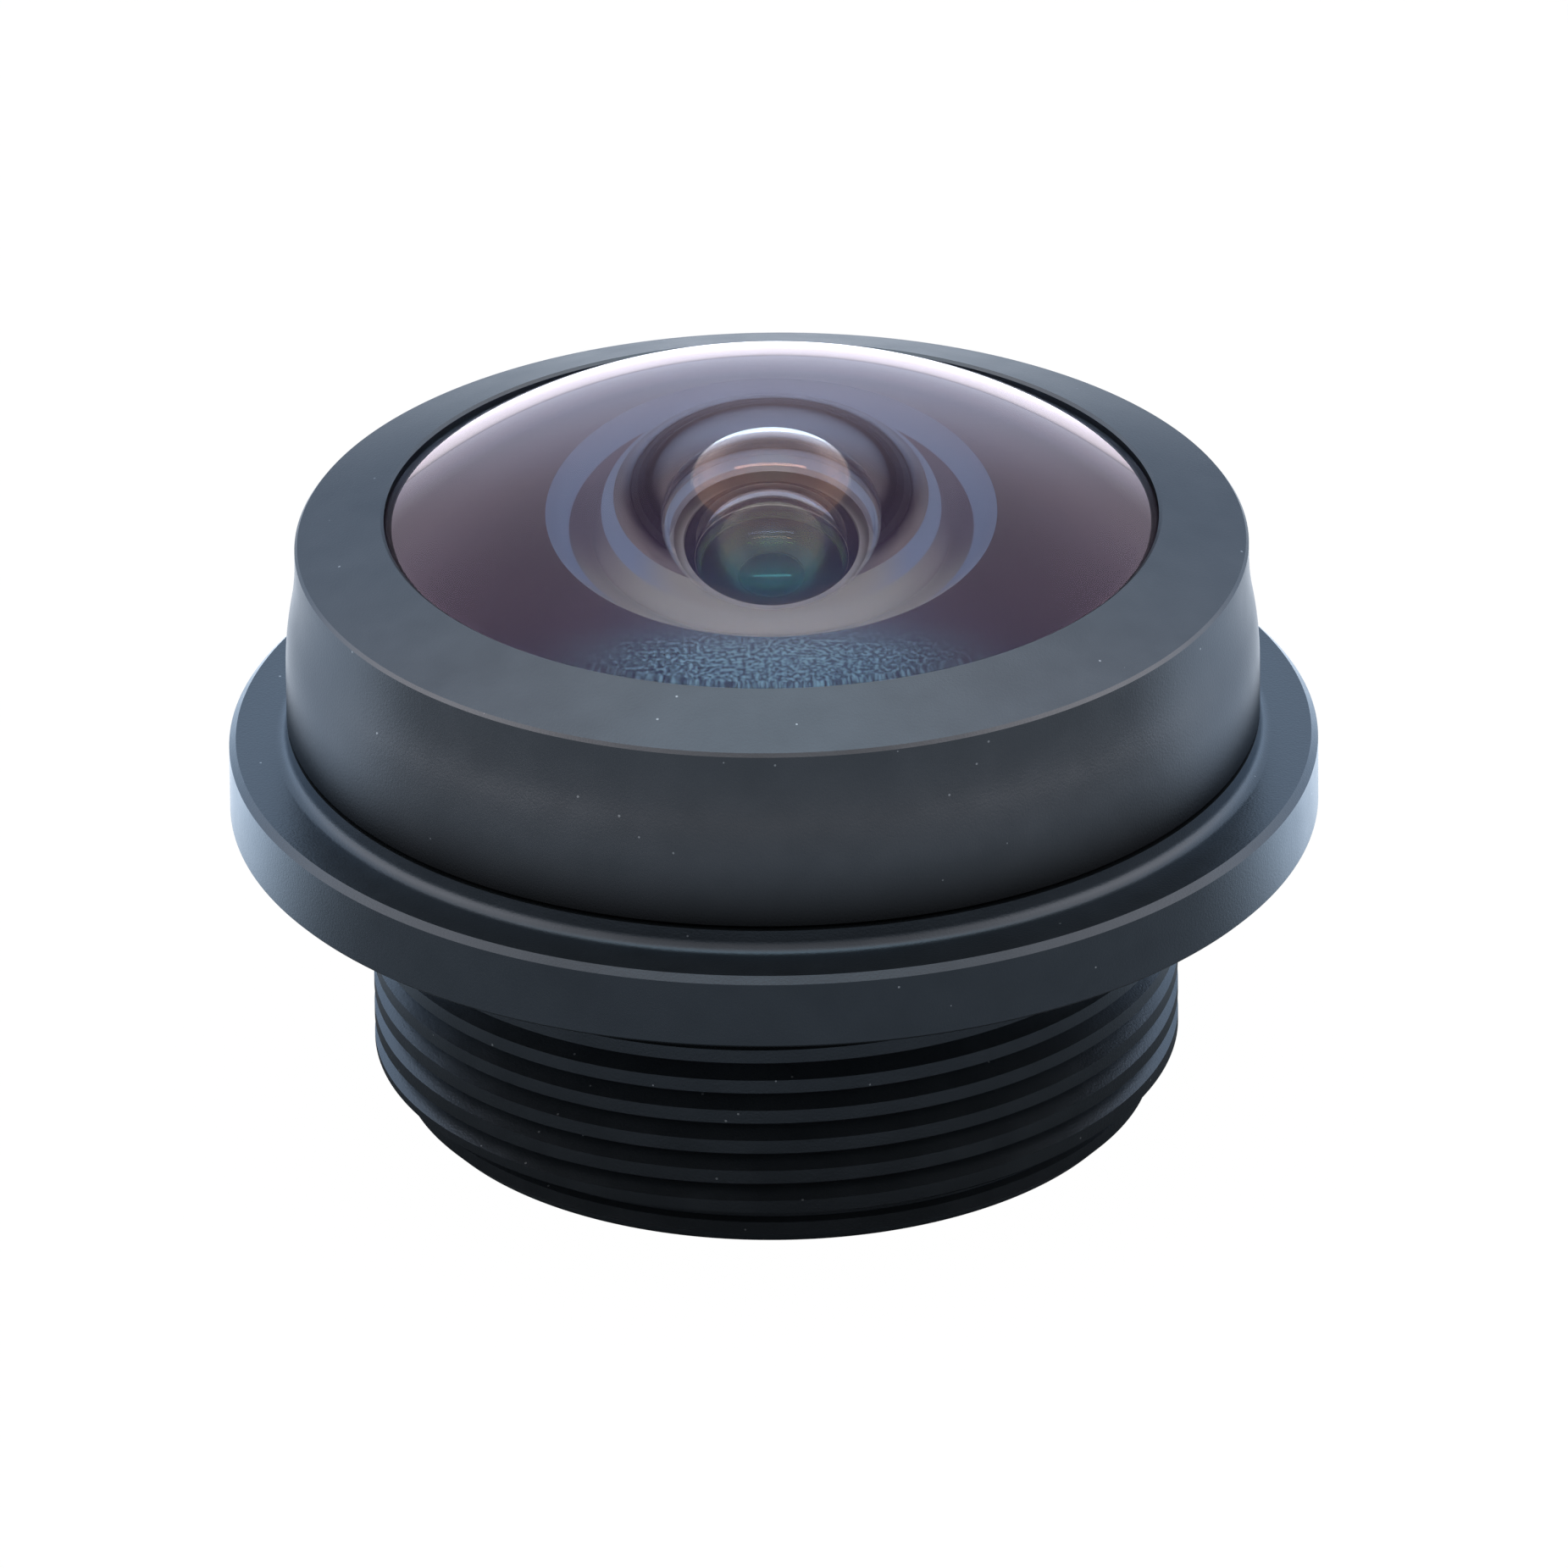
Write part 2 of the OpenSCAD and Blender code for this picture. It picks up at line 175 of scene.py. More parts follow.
class Shader(Graph):
    def __init__(self, name, settings=None):
        self.material = bpy.data.materials.new(name)
        self.material.use_nodes = True
        Graph.__init__(self, self.material.node_tree)
        self.surface = self.tree.nodes["Principled BSDF"]
        self.output = self.tree.nodes["Material Output"]
        for socket, value in (settings or {}).items():
            self.surface.inputs[socket].default_value = value

    def feed(self, **sockets):
        for key, value in sockets.items():
            self.plug(self.surface.inputs[key.replace("_", " ")], value)


def grey(level):
    return (level, level, level, 1)


def shade(colour, level=1.0):
    return tuple(c * level for c in colour) + (1,)


# Black anodised metal with a blasted grain, a few pale specks of dust and, where a foot is given, a
# painted shade towards the bottom
metalFinish = {
    "metallic": 0.85,
    "ior": 1.5,
    "mottlePerM": 1400,
    "mottleShade": 0.14,
    "mottleGloss": 0.05,
    "grainPerM": 26000,
    "grainDepth": 0.0000032,
    "speckPerM": 2600,
    "speckSize": 0.05,
    "speckShare": 0.5,
    "speckColour": (0.2, 0.22, 0.24, 1),
    "footShadeLevel": 0.004,
}


# The foot is a pair of heights in millimetres between which the metal darkens downwards, a painted shade
# where the flange below shades the wall
def anodised(name, colour, roughness, specks=1.0, edge=(0.8, 0.9, 1, 1), foot=None):
    s = metalFinish
    shader = Shader(name, {"Metallic": s["metallic"], "IOR": s["ior"], "Specular Tint": edge})
    mottle = shader.noise(s["mottlePerM"], 3)
    cell = shader.outputs("TexVoronoi", {"Vector": shader.place(), "Scale": s["speckPerM"]})
    pick = shader.node("TexWhiteNoise", None, {"Vector": cell["Position"]})
    near = cell["Distance"].maths("LESS_THAN", s["speckSize"])
    dust = near * pick.maths("GREATER_THAN", s["speckShare"]) * specks
    dark = shade(colour, 1 - s["mottleShade"])
    light = shade(colour, 1 + s["mottleShade"])
    base = shader.mixColour(dust, shader.mixColour(mottle, dark, light), s["speckColour"])
    # Painted shade: the base colour sinks to near black below the foot's upper height
    if foot:
        outOfFootShade = shader.smooth(shader.axes()["Z"], foot[0] * mm, foot[1] * mm)
        base = shader.mixColour(outOfFootShade, grey(s["footShadeLevel"]), base)
    shader.feed(Base_Color=base)
    shader.feed(Roughness=roughness - s["mottleGloss"] + mottle * (2 * s["mottleGloss"]))
    shader.feed(Normal=shader.bump(shader.noise(s["grainPerM"], 2, 0.6), s["grainDepth"]))
    return shader.material


coatingIndex = 1.38


# Glass with a thin coating: the film is its thickness in nanometres, the gloss tints what it reflects
def coatedGlass(name, ior, film, gloss=(1, 1, 1, 1), tint=(1, 1, 1, 1)):
    return Shader(
        name,
        {
            "Base Color": tint,
            "Roughness": 0.0,
            "IOR": ior,
            "Transmission Weight": 1.0,
            "Specular Tint": gloss,
            "Thin Film Thickness": film,
            "Thin Film IOR": coatingIndex,
        },
    ).material


# Matt paint behind the glass with a real grain. Its colour at the sides and its colour at the back are a
# painted reflection of the coating, whose tint turns with the view, and at the front the grain is
# brightened into a painted sheen where light rakes it
grainAndSheen = {
    "ior": 1.35,
    "perM": 17000,
    "darkBelow": 0.38,
    "brightAbove": 0.66,
    "dark": 0.03,
    "sheenBright": 1.9,
    "frontFrom": 2.3,
    "frontTo": 3.3,
    "spreadFrom": 0.6,
    "spreadTo": 3.6,
}


# The blend is the stretch along y, in millimetres, over which the side's painted reflection colour becomes
# the back's
def paint(name, side, back, front, roughness, blend):
    g = grainAndSheen
    shader = Shader(name, {"IOR": g["ior"]})
    speckle = shader.smooth(shader.noise(g["perM"], 2, 0.7), g["darkBelow"], g["brightAbove"])
    axes = shader.axes()
    behind = shader.smooth(axes["Y"], blend[0] * mm, blend[1] * mm)
    forward = shader.smooth(axes["Y"] * -1, g["frontFrom"] * mm, g["frontTo"] * mm)
    wide = shader.smooth(axes["X"].maths("ABSOLUTE"), g["spreadFrom"] * mm, g["spreadTo"] * mm)
    # Painted sheen: pale flecks in the grain at the front, where light rakes it
    grainWithSheen = shader.mixColour(speckle, shade(front, g["dark"]), shade(front, g["sheenBright"]))
    # Painted reflection: the colour turns from the side's to the back's
    base = shader.mixColour(behind, shade(side), shade(back))
    base = shader.mixColour(forward * (1 - wide), base, grainWithSheen)
    shader.feed(Base_Color=base, Roughness=roughness)
    return shader.material


plainFinish = {
    "cloudsPerM": 3000,
    "shade": 0.2,
    "gloss": 0.04,
}


def plain(name, colour, roughness):
    s = plainFinish
    shader = Shader(name)
    clouds = shader.noise(s["cloudsPerM"], 3)
    dark = shade(colour, 1 - s["shade"])
    light = shade(colour, 1 + s["shade"])
    shader.feed(Base_Color=shader.mixColour(clouds, dark, light))
    shader.feed(Roughness=roughness - s["gloss"] + clouds * (2 * s["gloss"]))
    return shader.material


# Finely ground flat round the second lens's hollow; its pale colour, palest at its inner edge, is a
# painted reflection of the bright surroundings
landReflection = {
    "inner": (0.8, 0.78, 0.76),
    "outer": (0.3, 0.28, 0.26),
    "paleTo": 2.1,
    "dimFrom": 2.5,
    "roughness": 0.5,
}


def paintedReflectionLand(name):
    s = landReflection
    shader = Shader(name, {"Roughness": s["roughness"]})
    flat = shader.node("VectorMath", {"operation": "MULTIPLY"}, {0: shader.place(), 1: (1, 1, 0)})
    outward = shader.smooth(shader.length(flat), s["paleTo"] * mm, s["dimFrom"] * mm)
    shader.feed(Base_Color=shader.mixColour(outward, shade(s["inner"]), shade(s["outer"])))
    return shader.material


finishes = {
    "ring": anodised(
        "ringBlack",
        colour=(0.06, 0.069, 0.08),
        roughness=0.34,
        edge=(0.43, 0.455, 0.485, 1),
        # Painted shade on the ring's wall just above the flange
        foot=(5.9, 7.3),
    ),
    "barrel": anodised("barrelBlack", colour=(0.035, 0.043, 0.052), roughness=0.33),
    "inner": anodised("innerBlack", colour=(0.03, 0.034, 0.045), roughness=0.45, specks=0.3),
    "spacer": plain("spacerGrey", colour=(0.32, 0.325, 0.33), roughness=0.5),
    "film": plain("shieldFilm", colour=(0.012, 0.012, 0.014), roughness=0.6),
    "rubber": plain("sealRubber", colour=(0.02, 0.02, 0.02), roughness=0.6),
    "edge": plain("inkedEdge", colour=(0.015, 0.012, 0.018), roughness=0.5),
    # Painted reflection on the second lens's rear flat
    "ground": paintedReflectionLand("landPaintedReflection"),
    "frontGlass": coatedGlass("frontGlass", ior=1.6, film=118, gloss=(1, 0.86, 0.92, 1)),
    "innerGlass": coatedGlass("innerGlass", ior=1.55, film=118, gloss=(0.46, 0.52, 0.47, 1)),
    "thirdGlass": coatedGlass(
        "thirdGlass", ior=1.6, film=130, gloss=(0.3, 0.62, 0.34, 1), tint=(0.7, 0.92, 0.72, 1)
    ),
    "filterGlass": coatedGlass("filterGlass", ior=1.5, film=160, tint=(0.55, 0.85, 0.65, 1)),
    # Black paint on the first lens's rear face, with painted reflection colours and a painted sheen at the
    # front
    "paint": paint(
        "rearPaint",
        side=(0.015, 0.011, 0.017),
        back=(0.05, 0.075, 0.125),
        front=(0.045, 0.09, 0.115),
        roughness=0.45,
        blend=(0.5, 3.6),
    ),
    # Painted reflection: the pale sides stand in for bright surroundings reflected inside the glass;
    # darker and bluer behind
    "flank": paint(
        "flankReflection",
        side=(0.12, 0.12, 0.11),
        back=(0.07, 0.1, 0.165),
        front=(0.1, 0.1, 0.1),
        roughness=0.4,
        blend=(-2.2, -1.0),
    ),
    # Painted reflection: pale grey at the sides, dark purple behind
    "bevel": paint(
        "bevelReflection",
        side=(0.13, 0.135, 0.13),
        back=(0.035, 0.033, 0.05),
        front=(0.08, 0.1, 0.11),
        roughness=0.4,
        blend=(-2.1, 0.3),
    ),
}
print("finishes made")


# Sizes in millimetres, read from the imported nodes
def low(node):
    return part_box(node)[0].z / mm


def high(node):
    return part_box(node)[1].z / mm


def radius(node):
    lowest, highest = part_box(node)
    return (highest.x - lowest.x) / mm / 2


def sag(r, half):
    return r - math.sqrt(r * r - half * half)


def capRadius(half, height):
    return (half * half + height * height) / (2 * height)


def arc(centre, r, start, end, count):
    steps = [math.radians(start + (end - start) * i / count) for i in range(count + 1)]
    return [(centre[0] + r * math.cos(a), centre[1] + r * math.sin(a)) for a in steps]


def deselect():
    if bpy.context.object and bpy.context.object.mode != "OBJECT":
        bpy.ops.object.mode_set(mode="OBJECT")
    bpy.ops.object.select_all(action="DESELECT")


creaseAngle = math.radians(28)
weldWithin = 0.0001 * mm
sliverUnder = 0.00005 * mm


# A profile is drawn by extruding one vertex from point to point, then spun round the axis
def turn(name, outline, material, steps):
    deselect()
    bpy.ops.mesh.primitive_plane_add(size=mm, location=(0, 0, 0))
    piece = bpy.context.object
    piece.name = piece.data.name = name
    bpy.ops.object.mode_set(mode="EDIT")
    bpy.ops.mesh.merge(type="CENTER")
    place = Vector((0, 0, 0))
    for i, (r, z) in enumerate(outline):
        target = Vector((r * mm, 0, z * mm))
        if i == 0:
            bpy.ops.transform.translate(value=target - place)
        else:
            bpy.ops.mesh.extrude_region_move(TRANSFORM_OT_translate={"value": target - place})
        place = target
    bpy.ops.mesh.select_all(action="SELECT")
    bpy.ops.mesh.spin(steps=steps, angle=math.tau, center=(0, 0, 0), axis=(0, 0, 1))
    bpy.ops.mesh.select_all(action="SELECT")
    bpy.ops.mesh.remove_doubles(threshold=weldWithin)
    bpy.ops.mesh.dissolve_degenerate(threshold=sliverUnder)
    bpy.ops.mesh.select_all(action="SELECT")
    bpy.ops.mesh.normals_make_consistent(inside=False)
    bpy.ops.object.mode_set(mode="OBJECT")
    bpy.ops.object.shade_smooth_by_angle(angle=creaseAngle)
    piece.data.materials.append(material)
    return piece


def camel(node):
    words = node.split("_")
    return words[0] + "".join(w.capitalize() for w in words[1:])


# Each piece is fixed to the one body and stands for one CAD node
def keep(piece, node):
    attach(piece, "root")
    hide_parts(node)


def closed(outline):
    return outline + outline[:1]


# A face whose middle is this close to a plane or to the rim lies in it
onPlane = 0.001
onEdge = 0.005


# Distance from the axis and height of a face's middle, in millimetres
def faceCentre(face):
    return math.hypot(face.center.x, face.center.y) / mm, face.center.z / mm


# First lens: dome, bevel and edge outside, painted rear face, deep hollow in a bevelled boss
firstLens = {
    "frontRadius": 9.723,
    "domeHalf": 5.71,
    "bevelDrop": 0.61,
    "hollowRadius": 2.14,
    "centreThickness": 1.09,
    "mouthWidth": 0.31,
    "mouthHeight": 0.15,
    "flankWidth": 0.37,
    "flankHeight": 0.4,
    "chamfer": 0.12,
    "domeSteps": 40,
    "hollowSteps": 48,
    "turnSteps": 192,
}


def domeHeight():
    return sag(firstLens["frontRadius"], firstLens["domeHalf"])


# Height of the first lens's upper edge, where its bevel ends
def bevelFoot():
    return high("first_lens") - domeHeight() - firstLens["bevelDrop"]


def makeFirstLens():
    s = firstLens
    mouthZ = low("first_lens")
    flankZ = mouthZ + s["mouthHeight"]
    rear = flankZ + s["flankHeight"]
    apex = high("first_lens")
    half = radius("first_lens")
    centreZ = apex - s["frontRadius"]
    hollowZ = apex - s["centreThickness"] - s["hollowRadius"]
    bevelRadius = s["hollowRadius"] + s["mouthWidth"]
    flankRadius = bevelRadius + s["flankWidth"]
    domeAngle = math.degrees(math.acos(s["domeHalf"] / s["frontRadius"]))
    outline = arc((0, centreZ), s["frontRadius"], 90, domeAngle, s["domeSteps"])
    outline[0] = (0, apex)
    outline += [(half, bevelFoot()), (half, rear + s["chamfer"]), (half - s["chamfer"], rear)]
    outline += [(flankRadius, rear), (bevelRadius, flankZ), (s["hollowRadius"], mouthZ)]
    outline += arc((0, hollowZ), s["hollowRadius"], 0, 90, s["hollowSteps"])
    outline[-1] = (0, hollowZ + s["hollowRadius"])
    piece = turn("firstLens", outline, finishes["frontGlass"], s["turnSteps"])
    for finish in ("paint", "flank", "bevel"):  # Slots 1, 2 and 3, after the glass
        piece.data.materials.append(finishes[finish])
    for face in piece.data.polygons:
        r, z = faceCentre(face)
        if r > s["domeHalf"] and z < apex - domeHeight():
            face.material_index = 1
        elif r > flankRadius and z < rear + onPlane:
            face.material_index = 1
        elif bevelRadius < r < flankRadius and flankZ < z < rear:
            face.material_index = 2
        elif s["hollowRadius"] < r < bevelRadius and z < flankZ:
            face.material_index = 3
    keep(piece, "first_lens")


# One side of a lens, from the half width and height of its cap. The cap bulges out, or is hollow where the
# height is below 0
def cap(half, height, landZ, side):
    r = capRadius(half, abs(height))
    angle = math.degrees(math.acos(half / r))
    if height < 0:
        side = -side
    centre = landZ + side * (abs(height) - r)
    return centre, r, side * angle, side * 90


lensSteps = {
    "face": 32,
    "turn": 128,
}


# Front and rear are a half width and a height each, and ground is the width of the ground ring behind
def lens(name, node, finish, front, rear, ground):
    half = radius(node)
    frontLand = high(node) - max(front[1], 0)
    rearLand = low(node) + max(rear[1], 0)
    centre, r, rim, pole = cap(front[0], front[1], frontLand, 1)
    outline = arc((0, centre), r, pole, rim, lensSteps["face"])
    outline[0] = (0, frontLand + front[1])
    if front[0] < half:
        outline += [(half, frontLand)]
    if rear[0] < half:
        outline += [(half, rearLand)]
    if ground:
        outline += [(rear[0] + ground, rearLand)]
    centre, r, rim, pole = cap(rear[0], rear[1], rearLand, -1)
    outline += arc((0, centre), r, rim, pole, lensSteps["face"])
    outline[-1] = (0, rearLand - rear[1])
    piece = turn(name, outline, finishes[finish], lensSteps["turn"])
    piece.data.materials.append(finishes["edge"])
    piece.data.materials.append(finishes["ground"])
    for face in piece.data.polygons:
        r, z = faceCentre(face)
        if r > half - onEdge:
            face.material_index = 1
        elif rear[0] < r < rear[0] + ground and z < rearLand + onPlane:
            face.material_index = 2
    keep(piece, node)


# Glass, front face, rear face and ground ring of each
innerLenses = {
    "second_lens": ("innerGlass", (1.95, 0.9), (1.9, -1.25), 1.7),
    "third_lens": ("thirdGlass", (2.2, 0.59), (1.8, 0.34), 0),
    "fourth_lens": ("thirdGlass", (1.7, 0.38), (2.89, 0.92), 0),
    "fifth_lens": ("thirdGlass", (2.895, -0.93), (2.1, -0.46), 0),
    "sixth_lens": ("thirdGlass", (2.3, 0.63), (2.2, 0.42), 0),
}


def makeInnerLenses():
    for node, (finish, front, rear, ground) in innerLenses.items():
        lens(camel(node), node, finish, front, rear, ground)


frontRing = {
    "tubeRadius": 6.62,
    "flareTop": 0.25,
    "flareHeight": 1.7,
    "rimRadius": 7.08,
    "edgeBreak": 0.04,
    "faceAngle": 19.6,
    "openingRadius": 5.75,
    "lipBevel": 0.05,
    "lipThickness": 0.17,
    "flareSteps": 16,
    "turnSteps": 256,
}


# An S-shaped run from one radius to another
def flare(rLow, zLow, rHigh, zHigh, steps):
    points = []
    for i in range(steps + 1):
        t = i / steps
        e = 2 * t * t if t < 0.5 else 1 - 2 * (1 - t) * (1 - t)
        points.append((rLow + (rHigh - rLow) * e, zLow + (zHigh - zLow) * t))
    return points


def makeFrontRing():
    s = frontRing
    foot = low("front_ring")
    shell = radius("front_ring")
    slope = math.tan(math.radians(s["faceAngle"]))
    opening = high("front_ring") + s["lipBevel"] * slope
    rimZ = opening - (s["rimRadius"] - s["openingRadius"]) * slope
    lipLow = opening - s["lipThickness"]
    flareEnd = rimZ - s["flareTop"]
    b = s["edgeBreak"]
    outline = [(s["tubeRadius"], foot), (shell - b, foot), (shell, foot + b)]
    outline += flare(shell, flareEnd - s["flareHeight"], s["rimRadius"], flareEnd, s["flareSteps"])
    outline += [(s["rimRadius"], rimZ - b), (s["rimRadius"] - b, rimZ + b * slope)]
    outline += [(s["openingRadius"] + s["lipBevel"], opening - s["lipBevel"] * slope)]
    outline += [(s["openingRadius"], opening - s["lipBevel"]), (s["openingRadius"], lipLow)]
    outline += [(radius("first_lens"), bevelFoot()), (s["tubeRadius"], bevelFoot())]
    piece = turn("frontRing", closed(outline), finishes["ring"], s["turnSteps"])
    keep(piece, "front_ring")


makeFirstLens()
makeInnerLenses()
makeFrontRing()
print("lenses and front ring made")


airGap = 0.003  # A hair of air that keeps flat faces off the glass that they touch

# Barrel: turned outside and stepped bores, with the mounting thread cut as a helix
barrel = {
    "threadRadius": 6.0,
    "pilotRadius": 5.6,
    "pilotLength": 0.4,
    "rearChamfer": 0.2,
    "undercutRadius": 5.5,
    "undercutFrom": 0.45,
    "undercutTo": 0.51,
    "threadFrom": 0.76,
    "threadTo": 3.7,
    "reliefRadius": 5.55,
    "reliefFrom": 3.925,
    "seat": 4.58,
    "flangeTop": 5.72,
    "flangeBreak": 0.04,
    "flangeChamfer": 0.1,
    "fillet": 0.18,
    "filletSteps": 8,
    "seamGap": 0.04,
    "tubeRadius": 6.6,
    "tubeBelowEdge": 0.05,
    "grooveWidth": 0.8,
    "wallHole": 1.9,
    "clear": 0.02,
    "stepClear": 0.05,
    "thirdEdge": 0.9,
    "turnSteps": 256,
}
thread = {
    "pitch": 0.5,
    "apexRadius": 5.75,
    "halfAngle": 30,
    "overRadius": 6.12,
    "firstGroove": 0.235,
    "turns": 8,
    "stepsPerTurn": 144,
    "weldWithin": 0.001,
}


# The groove's triangle beside the axis, swept along the helix
def threadCutter():
    s = thread
    widen = (s["overRadius"] - s["apexRadius"]) * math.tan(math.radians(s["halfAngle"])) * mm
    deselect()
    bpy.ops.mesh.primitive_plane_add(size=mm, location=(0, 0, 0))
    cutter = bpy.context.object
    bpy.ops.object.mode_set(mode="EDIT")
    bpy.ops.mesh.merge(type="CENTER")
    apex = Vector((s["apexRadius"] * mm, 0, 0))
    upper = Vector((s["overRadius"] * mm, 0, widen))
    lower = Vector((s["overRadius"] * mm, 0, -widen))
    bpy.ops.transform.translate(value=apex)
    for start, end in ((apex, upper), (upper, lower), (lower, apex)):
        bpy.ops.mesh.extrude_region_move(TRANSFORM_OT_translate={"value": end - start})
    bpy.ops.mesh.select_all(action="SELECT")
    bpy.ops.mesh.remove_doubles(threshold=s["weldWithin"] * mm)
    bpy.ops.transform.translate(value=(0, 0, s["firstGroove"] * mm))
    bpy.ops.object.mode_set(mode="OBJECT")
    screw = cutter.modifiers.new("helix", "SCREW")
    screw.axis = "Z"
    screw.angle = math.tau
    screw.screw_offset = s["pitch"] * mm
    screw.iterations = s["turns"]
    screw.steps = s["stepsPerTurn"]
    screw.render_steps = s["stepsPerTurn"]
    screw.use_merge_vertices = False
    bpy.ops.object.modifier_apply(modifier="helix")
    bpy.ops.object.mode_set(mode="EDIT")
    bpy.ops.mesh.select_all(action="SELECT")
    bpy.ops.mesh.remove_doubles(threshold=s["weldWithin"] * mm)
    bpy.ops.mesh.select_non_manifold(extend=False)
    bpy.ops.mesh.fill_holes(sides=0)
    bpy.ops.mesh.select_all(action="SELECT")
    bpy.ops.mesh.normals_make_consistent(inside=False)
    bpy.ops.object.mode_set(mode="OBJECT")
    return cutter


def cutAway(piece, cutter):
    deselect()
    piece.select_set(True)
    bpy.context.view_layer.objects.active = piece
    cut = piece.modifiers.new("cut", "BOOLEAN")
    cut.operation = "DIFFERENCE"
    cut.solver = "EXACT"
    cut.object = cutter
    bpy.ops.object.modifier_apply(modifier="cut")
    bpy.ops.object.shade_smooth_by_angle(angle=creaseAngle)
    deselect()
    cutter.select_set(True)
    bpy.ops.object.delete()


def makeBarrel():
    s = barrel
    shell = radius("front_ring")
    flange = radius("barrel")
    seam = low("front_ring") - s["seamGap"]
    tubeTop = bevelFoot() - s["tubeBelowEdge"]
    outline = [(s["pilotRadius"] - s["rearChamfer"], 0), (s["pilotRadius"], s["rearChamfer"])]
    outline += [(s["pilotRadius"], s["pilotLength"]), (s["undercutRadius"], s["undercutFrom"])]
    outline += [(s["undercutRadius"], s["undercutTo"]), (s["threadRadius"], s["threadFrom"])]
    outline += [(s["threadRadius"], s["threadTo"]), (s["reliefRadius"], s["reliefFrom"])]
    outline += [(s["reliefRadius"], s["seat"]), (flange - s["flangeBreak"], s["seat"])]
    outline += [(flange, s["seat"] + s["flangeBreak"]), (flange, s["flangeTop"] - s["flangeChamfer"])]
    outline += [(flange - s["flangeChamfer"], s["flangeTop"])]
    filletCentre = (shell + s["fillet"], s["flangeTop"] + s["fillet"])
    outline += arc(filletCentre, s["fillet"], 270, 180, s["filletSteps"])
    outline += [(shell, seam), (s["tubeRadius"], seam), (s["tubeRadius"], tubeTop)]
    groove = radius("first_lens") + s["clear"]
    outline += [(groove, tubeTop), (groove, low("front_seal"))]
    outline += [(groove - s["grooveWidth"], low("front_seal"))]
    shoulder = high("front_seal") - s["stepClear"]
    outline += [(groove - s["grooveWidth"], shoulder)]
    frontStep = high("second_spacer") - s["stepClear"]
    rearStep = low("rear_spacer") + s["stepClear"]
    wallTop = low("second_spacer") - s["thirdEdge"] - airGap
    wallLow = high("aperture_stop")
    # Bores from the front to the rear, each named for what it holds, with its upper and lower end
    bores = [
        ("second_lens", shoulder, frontStep),
        ("third_lens", frontStep, wallTop),
        ("fifth_lens", wallLow, rearStep),
        ("sixth_lens", rearStep, high("rear_ring")),
        ("rear_ring", high("rear_ring"), high("infrared_filter")),
        ("infrared_filter", high("infrared_filter"), 0),
    ]
    for node, top, bottom in bores:
        bore = radius(node) + s["clear"]
        outline += [(bore, top), (bore, bottom)]
        if node == "third_lens":
            outline += [(s["wallHole"], wallTop), (s["wallHole"], wallLow)]
    piece = turn("barrel", closed(outline), finishes["barrel"], s["turnSteps"])
    cutAway(piece, threadCutter())
    keep(piece, "barrel")


makeBarrel()
print("barrel made")


ringSteps = 144

# Spacers, shields and the stop: radius of the bore below and above, finish and slot
rings = {
    "front_shield": (3.0, 3.0, "film", "shield_film"),
    "first_spacer": (2.65, 3.0, "spacer", "spacer_black"),
    "middle_shield": (2.0, 2.0, "film", "shield_film"),
    "second_spacer": (2.3, 2.3, "inner", "spacer_black"),
    "aperture_stop": (0.75, 0.75, "film", "stop_black"),
    "stop_spacer": (1.9, 1.9, "inner", "spacer_black"),
    "rear_shield": (2.4, 2.4, "film", "shield_film"),
    "rear_spacer": (2.4, 2.4, "inner", "spacer_black"),
}


def makeRings():
    for node, (boreLow, boreHigh, finish, slot) in rings.items():
        edge = radius(node)
        bottom = low(node) + airGap
        top = high(node) - airGap
        outline = [(boreLow, bottom), (edge, bottom), (edge, top), (boreHigh, top)]
        keep(turn(camel(node), closed(outline), finishes[finish], ringSteps), node)


makeRings()
print("spacers made")

seal = {
    "cordRadius": 0.3,
    "sideSteps": 10,
    "turnSteps": 192,
}


# Cord squeezed flat between the first lens and its groove
def makeSeal():
    bottom = low("front_seal")
    top = high("front_seal")
    middle = (bottom + top) / 2
    reach = math.degrees(math.asin((top - middle) / seal["cordRadius"]))
    centre = (radius("front_seal") - seal["cordRadius"], middle)
    outline = arc(centre, seal["cordRadius"], -reach, reach, seal["sideSteps"])
    outline += arc(centre, seal["cordRadius"], 180 - reach, 180 + reach, seal["sideSteps"])
    piece = turn("frontSeal", closed(outline), finishes["rubber"], seal["turnSteps"])
    keep(piece, "front_seal")


rearRing = {
    "boreRadius": 2.4,
    "slotWidth": 0.8,
    "slotDepth": 0.3,
    "edgeBreak": 0.04,
}


def makeRearRing():
    s = rearRing
    edge = radius("rear_ring")
    bottom = low("rear_ring")
    top = high("rear_ring") - airGap
    b = s["edgeBreak"]
    outline = [(s["boreRadius"] + b, bottom), (edge - b, bottom), (edge, bottom + b), (edge, top)]
    outline += [(s["boreRadius"], top), (s["boreRadius"], bottom + b)]
    piece = turn("rearRing", closed(outline), finishes["inner"], ringSteps)
    deselect()
    bpy.ops.mesh.primitive_cube_add(size=1, location=(0, 0, bottom * mm))
    cutter = bpy.context.object
    cutter.scale = (edge * 3 * mm, s["slotWidth"] * mm, s["slotDepth"] * 2 * mm)
    bpy.ops.object.transform_apply(location=False, rotation=False, scale=True)
    cutAway(piece, cutter)
    keep(piece, "rear_ring")


filterEdge = 0.04


def makeFilter():
    edge = radius("infrared_filter")
    bottom = low("infrared_filter")
    top = high("infrared_filter") - airGap
    outline = [(0, bottom), (edge - filterEdge, bottom), (edge, bottom + filterEdge)]
    outline += [(edge, top - filterEdge), (edge - filterEdge, top), (0, top)]
    piece = turn("infraredFilter", outline, finishes["filterGlass"], ringSteps)
    keep(piece, "infrared_filter")


makeSeal()
makeRearRing()
makeFilter()
print("seal, rear ring and filter made")


